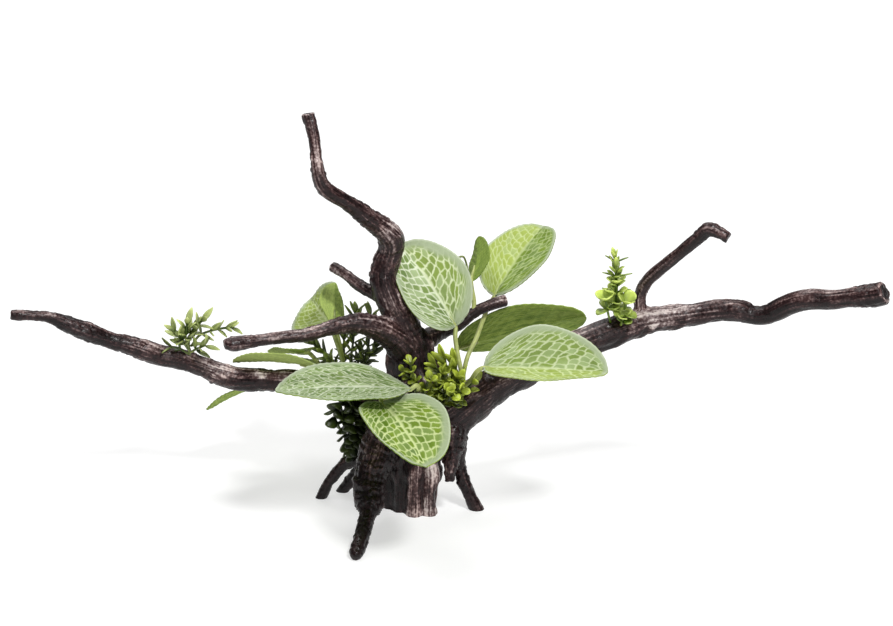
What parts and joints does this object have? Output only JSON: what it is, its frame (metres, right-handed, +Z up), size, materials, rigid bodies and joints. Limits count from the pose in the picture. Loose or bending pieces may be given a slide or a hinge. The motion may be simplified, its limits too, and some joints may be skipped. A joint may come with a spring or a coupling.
{
  "type": "driftwood ornament",
  "caption": "Dark gnarled artificial driftwood standing on its cut base, with spreading branches and roots, veined fabric leaves and small moulded plastic sprigs.",
  "frame": {"origin": "middle of the flat underside of the stump", "axes": "+X along the long right branch, +Y to the back, +Z up"},
  "size_m": [0.3768, 0.1365, 0.1822],
  "materials": {
    "driftwood_resin": "cast resin with wood grain, dark stain and dry-brushed ridges, satin",
    "leaf_fabric": "printed fabric with a pale net of veins, plain green underside",
    "sprig_plastic": "moulded green plastic, slightly glossy"
  },
  "bodies": {
    "root": {"stump": "driftwood_resin", "right_arm": "driftwood_resin", "left_arm": "driftwood_resin", "upright_branch": "driftwood_resin", "front_left_branch": "driftwood_resin", "front_root": "driftwood_resin", "right_arm_fork": "driftwood_resin", "back_branch": "driftwood_resin", "upright_twig": "driftwood_resin", "right_stub": "driftwood_resin", "right_root": "driftwood_resin", "back_left_root_1": "driftwood_resin", "back_left_root_2": "driftwood_resin", "leaf_top": "leaf_fabric", "leaf_behind_top": "leaf_fabric", "leaf_upper_right": "leaf_fabric", "leaf_rear_right": "leaf_fabric", "leaf_right": "leaf_fabric", "leaf_left": "leaf_fabric", "leaf_front": "leaf_fabric", "leaf_rear_left_1": "leaf_fabric", "leaf_rear_left_2": "leaf_fabric", "leaf_over_left_arm": "leaf_fabric", "leaf_rear_left_3": "leaf_fabric", "leaf_under_left_arm": "leaf_fabric", "sprig_left_arm": "sprig_plastic", "sprig_right_arm": "sprig_plastic", "sprig_centre": "sprig_plastic", "sprig_rear_left": "sprig_plastic", "sprig_under_left_arm": "sprig_plastic"}
  },
  "joints": []
}
